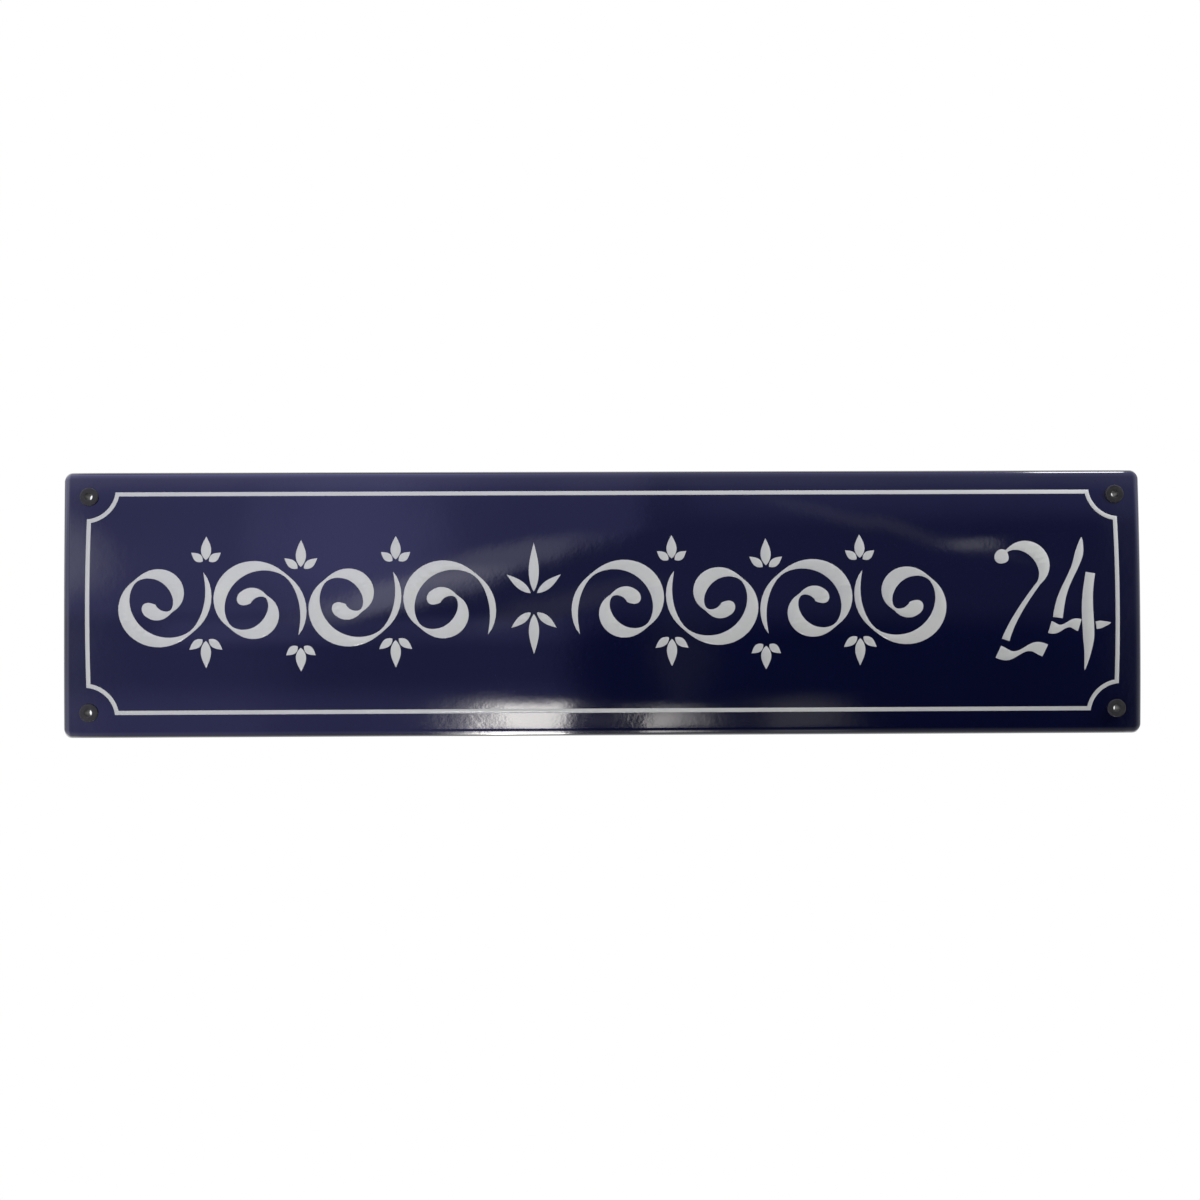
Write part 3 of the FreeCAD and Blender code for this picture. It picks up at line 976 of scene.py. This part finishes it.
def make_floor():
    bm = bmesh.new()
    bmesh.ops.create_grid(bm, x_segments=1, y_segments=1, size=1)
    bmesh.ops.scale(bm, vec=FLOOR_HALF_SIZES, verts=bm.verts)
    bmesh.ops.translate(bm, vec=(0, 0, FLOOR_LEVEL), verts=bm.verts)
    floor = make_object("floor", bm, make_floor_paper())
    floor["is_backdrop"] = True
    return floor


floor = make_floor()
print("the floor lies at z =", round(floor.data.vertices[0].co.z, 3), "m")

# %% [markdown]
# ## Camera
#
# The camera stands where the photograph was taken from, a little left of the middle and
# below it, and rolls by a quarter of a degree. Its place and lens come from fitting the
# sign's edges and its line to the photograph. `looking` is also used for the lamps.


# %% The photograph's camera
def looking(place, aim):
    """Stands a thing at its place and turns it to look at its aim."""
    return Matrix.Translation(place) @ (aim - place).to_track_quat("-Z", "Y").to_matrix().to_4x4()


def make_camera(place, aim, roll, lens):
    camera = bpy.data.objects.new("camera", bpy.data.cameras.new("camera"))
    camera.data.lens = lens
    camera.data.sensor_width = 36
    camera.data.clip_start = 0.01
    camera.matrix_world = looking(place, aim) @ Matrix.Rotation(-roll, 4, "Z")
    bpy.context.scene.collection.objects.link(camera)
    bpy.context.scene.camera = camera
    return camera


camera = make_camera(
    place=Vector((-22.4, -1115, -28.0)) * MM,
    aim=Vector((-2.6, -16.5, 1.4)) * MM,
    roll=math.radians(0.251),
    lens=59.90,
)
print("the camera looks along", [round(-part, 3) for part in camera.matrix_world.to_3x3().col[2]])

# %% [markdown]
# ## Light
#
# The white behind the sign is the world as the camera sees it. The world also gives an
# even soft light from all sides. Gloss enamel shows the room in front of it, so rays that
# leave the gloss see soft cards instead of plain white, as a photographer would set them
# up round a shiny thing. `Room` places them by two angles in degrees: the side, which is
# how far a ray goes to the right, and the tilt, which turns from the viewer at 0 over the
# ceiling at 90 to the wall behind the sign at 180. The face curves only from top to
# bottom, so a card keeps its side all the way down the sign and round its long bends.


# %% Angles and shapes in the world
class Room(Finish):
    def __init__(self, world):
        self.tree = world.node_tree
        split = self.node("ShaderNodeSeparateXYZ")
        self.feed(split.inputs[0], self.node("ShaderNodeTexCoord").outputs["Generated"])
        x, y, z = split.outputs
        self.side = self.maths("DEGREES", self.maths("ARCSINE", x))
        self.tilt = self.maths("DEGREES", self.maths("ARCTAN2", z, self.maths("MULTIPLY", y, -1)))

    def plus(self, first, *others):
        """Adds lights up."""
        for other in others:
            first = self.maths("ADD", first, other)
        return first

    def times(self, first, *others):
        """Keeps of a light what every mask leaves of it."""
        for other in others:
            first = self.maths("MULTIPLY", first, other)
        return first

    def ramp(self, value, low, high, to_low=0.0, to_high=1.0):
        """Goes softly from one level to another while an angle goes from low to high."""
        return self.stretch(value, low, high, to_low, to_high, "SMOOTHSTEP")

    def between(self, value, low, high, soft):
        """A strip from low to high whose borders are as wide as soft."""
        rise = self.ramp(value, low - soft / 2, low + soft / 2)
        return self.times(rise, self.ramp(value, high - soft / 2, high + soft / 2, 1.0, 0.0))

    def hairs(self):
        """Clouds drawn out to leaning hairs, around 0.5."""
        spot = self.node("ShaderNodeCombineXYZ")
        self.feed(spot.inputs[0], self.maths("MULTIPLY_ADD", self.tilt, -0.25, self.side))
        self.feed(spot.inputs[1], self.maths("MULTIPLY", self.tilt, 0.12))
        return self.noise(spot.outputs[0], size=1 / 3, detail=3.0, roughness=0.6)

    def glow(self, level, side, tilt, wide, high, across=None):
        """A soft oval patch. Across may be another angle than the side."""
        square = []
        for value, middle, size in ((across or self.side, side, wide), (self.tilt, tilt, high)):
            away = self.maths("DIVIDE", self.maths("SUBTRACT", value, middle), size)
            square.append(self.times(away, away))
        return self.ramp(self.plus(*square), 0.0, 1.0, level, 0.0)


# %% [markdown]
# A pale wall stands at the left. It ends at a slanting line, and beyond it the room is dim.
# Below eye level the wall is darker and the right side is nearly black. The ceiling starts
# at 25 degrees. These three are cool, because daylight falls on them.


# %% Walls, lower room and ceiling
def past_band(room):
    """Degrees to the right of the middle of the slanting bright band."""
    height = room.maths("MINIMUM", room.tilt, 20.0)
    return room.maths("SUBTRACT", room.side, room.maths("MULTIPLY_ADD", height, 0.33, -5.8))


def wall_light(room):
    past = past_band(room)
    level = room.times(room.ramp(room.tilt, -4, 0.5), room.ramp(room.side, -4.5, -1.5, 0.58, 0.42))
    level = room.plus(level, room.glow(0.28, side=-6.2, tilt=18, wide=3.6, high=22))
    wall = room.times(level, room.ramp(past, 0.7, 2.0, 1.0, 0.0))
    dim = room.times(room.ramp(room.side, 4, 12, 0.15, 0.09), room.ramp(room.tilt, -8, 2))
    dim = room.times(dim, room.ramp(past, 0.7, 2.0))
    return room.times(room.plus(wall, dim), room.ramp(room.tilt, 110, 140, 1.0, 0.0))


def low_light(room):
    near = room.ramp(room.side, -9, -7, 0.34, 0.2)
    step = room.times(room.between(room.tilt, -8, -2, 4), room.ramp(room.side, -12, -10.8))
    step = room.times(step, room.ramp(room.side, -8, -5, 0.28, 0.12))
    left = room.times(room.plus(near, step), room.ramp(room.tilt, -4, 0, 1.0, 0.0))
    left = room.times(left, room.ramp(room.tilt, -150, -90))
    deep = room.times(room.between(room.tilt, -90, -21, 10), 0.22)
    return room.times(room.plus(left, deep), room.ramp(room.side, -1, 1.4, 1.0, 0.0))


def ceiling_light(room):
    near = room.times(room.ramp(room.tilt, 25, 33), room.ramp(room.side, -4, 0, 0.14, 0.10))
    higher = room.times(room.ramp(room.tilt, 33, 60), room.ramp(room.side, -8, 4, 0.3, 0.12))
    right = room.times(room.ramp(room.tilt, 19, 27), room.ramp(room.side, 1, 6, 0.0, 0.16))
    return room.times(room.plus(near, higher, right), room.ramp(room.tilt, 110, 140, 1.0, 0.0))


# %% [markdown]
# A bright band runs along the end of the wall, with a faint echo beside it, and the far
# left is bright too. Low in front of the sign stand a window with a soft wide frame and two
# fainter ones. They show in the lower edge of the face, and once more in the bend below it.
# Their light is a little warm, and `hairs` frays their upper borders. At the right are a
# small spot and a faint streak, and right of the middle a faint upright patch.


# %% Bright band and windows
def band_light(room):
    past = past_band(room)
    upper = room.glow(0.85, side=0, tilt=12, wide=1.9, high=8, across=past)
    lower = room.glow(1.35, side=0, tilt=3.5, wide=2.0, high=8.5, across=past)
    echo = room.glow(0.26, side=5.2, tilt=1, wide=1.6, high=9, across=past)
    leaning = room.maths("MULTIPLY_ADD", room.tilt, 0.45, room.side)
    streak = room.glow(0.26, side=18.3, tilt=20, wide=1.1, high=11, across=leaning)
    spot = room.glow(3.2, side=11.75, tilt=15.8, wide=0.24, high=2.3)
    upright = room.glow(0.12, side=3.3, tilt=-14, wide=1.2, high=16)
    far_left = room.glow(1.0, side=-15.2, tilt=13, wide=3.4, high=14)
    far_left = room.plus(far_left, room.ramp(room.side, -14.4, -12.6, 0.32, 0.0))
    return room.plus(upper, lower, echo, streak, spot, upright, far_left)


def window_light(room):
    above_bend = room.ramp(room.tilt, -30, -28.9)
    in_bend = room.ramp(room.tilt, -68, -60, 1.0, 0.0)
    long = room.times(in_bend, room.ramp(room.tilt, -150, -140))
    short = room.times(in_bend, room.ramp(room.tilt, -112, -96))
    frayed = room.plus(room.tilt, room.times(room.hairs(), 3.5), -1.75)
    sharp_top = room.times(room.ramp(frayed, -25, -21.8, 1.0, 0.0), above_bend)
    soft_top = room.times(room.ramp(frayed, -26.5, -20, 1.0, 0.0), above_bend)
    low_top = room.times(room.ramp(frayed, -27.5, -23, 1.0, 0.0), above_bend)
    pane = room.times(room.between(room.side, -2.12, 0.05, 0.4), room.plus(sharp_top, long), 16.0)
    fade = room.ramp(room.side, -4.6, -1.9)
    frame = room.times(fade, fade, fade, room.ramp(room.side, -1.9, -1.5, 4.4, 0.0))
    frame = room.times(frame, room.plus(soft_top, long, long))
    second = room.times(room.ramp(room.side, 1.9, 2.3), room.ramp(room.side, 2.0, 5.0, 7.4, 0.0))
    second = room.times(second, room.plus(low_top, short))
    third = room.times(room.plus(soft_top, short), room.between(room.side, 5.6, 8, 1.4), 0.6)
    return room.plus(pane, frame, second, third)


# %% [markdown]
# The bends round the edge look further about the room: up over the ceiling, where a lamp
# stands at the right, to both sides, and down. The wall behind the sign is white again. Each
# row of the steps is a change of level towards one end: two angles and two levels.


# %% What the edges see
END_STEPS = [(-36, -16, 1.2, 0.0), (-75, -36, -0.6, 0.0), (15.3, 16, 0.0, 0.15), (16, 60, 0.0, 0.5)]


def edge_light(room):
    ceiling = room.ramp(room.side, -6, 8, 0.5, 0.36)
    ceiling = room.times(ceiling, room.between(room.tilt, 31.5, 125, 6))
    lamp = room.times(room.between(room.side, 13, 16, 0.8), room.between(room.tilt, 99, 127, 8))
    lamp = room.times(lamp, 13.0)
    below = room.ramp(room.side, -3, 3, 0.26, 0.36)
    below = room.times(below, room.between(room.tilt, -140, -55, 50))
    behind = room.ramp(room.maths("ABSOLUTE", room.tilt), 140, 190, 0.0, 0.8)
    ends = []
    for low, high, to_low, to_high in END_STEPS:
        ends.append(room.ramp(room.side, low, high, to_low, to_high))
    return room.plus(ceiling, lamp, below, behind, *ends)


# %% [markdown]
# The world adds the plain lights, the cool ones times a tint and the windows times a warm
# tint, for rays that leave the gloss. All other light that falls on the sign finds the even
# level, and the camera finds white.

# %% The world
EVEN_LIGHT = 0.26
COOL_TINT = (1.0, 0.98, 2.2)
WARM_TINT = (1.1, 1.06, 1.0)


def make_world():
    world = bpy.data.worlds.new("studio")
    world.use_nodes = True
    bpy.context.scene.world = world
    room = Room(world)
    cool = room.plus(wall_light(room), low_light(room), ceiling_light(room))
    warm = window_light(room)
    plain = room.plus(band_light(room), edge_light(room))
    gloss = room.node("ShaderNodeCombineXYZ")
    for socket, cool_tint, warm_tint in zip(gloss.inputs, COOL_TINT, WARM_TINT):
        level = room.maths("MULTIPLY_ADD", cool, cool_tint, plain)
        room.feed(socket, room.maths("MULTIPLY_ADD", warm, warm_tint, level))
    path = room.node("ShaderNodeLightPath").outputs
    even = (EVEN_LIGHT, EVEN_LIGHT, EVEN_LIGHT, 1)
    lit = room.blend(path["Is Glossy Ray"], even, gloss.outputs[0])
    clear = room.maths("MAXIMUM", path["Is Camera Ray"], path["Is Transmission Ray"])
    colour = world.node_tree.nodes["Background"].inputs["Color"]
    room.feed(colour, room.blend(clear, lit, (1, 1, 1, 1)))
    return world


world = make_world()
print("the world has", len(world.node_tree.nodes), "nodes")

# %% [markdown]
# The lamps are soft, and the gloss doesn't show them, because the room above already holds
# what it shows. A small one near the left and a large one high at the right give the white
# enamel its slow change from side to side. One behind at the right lights the back.


# %% Soft lamps
def make_lamp(name, place, aim, size, power):
    lamp = bpy.data.objects.new(name, bpy.data.lights.new(name, "AREA"))
    lamp.data.size = size
    lamp.data.energy = power
    lamp.visible_glossy = False
    lamp.visible_camera = False
    lamp.matrix_world = looking(place, aim)
    bpy.context.scene.collection.objects.link(lamp)
    print(name, "lamp stands", round((aim - place).length, 2), "m away")


make_lamp("near_left", Vector((-0.23, -0.35, -0.02)), Vector((-0.12, 0, 0)), size=0.3, power=0.58)
make_lamp("high_right", Vector((0.85, -0.35, 0.6)), Vector((0.1, 0, 0)), size=0.5, power=8.2)
make_lamp("back", Vector((0.9, 1.4, 0.8)), Vector((0, 0, 0)), size=1.2, power=10)

# %% [markdown]
# ## The end
#
# The colours are shown plainly. The two boxes, of the solids and of the dressed sign, are
# kept side by side and printed, so that it is easy to see that the dressing didn't change the size.

# %% Finish
bpy.context.scene.view_settings.view_transform = "Standard"

sizes = {"cad": [list(corner) for corner in cad_box], "visual": [list(corner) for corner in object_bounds()]}
dressed = Vector(sizes["visual"][1]) - Vector(sizes["visual"][0])
print("box of the dressed sign in mm:", [round(side / MM, 2) for side in dressed])
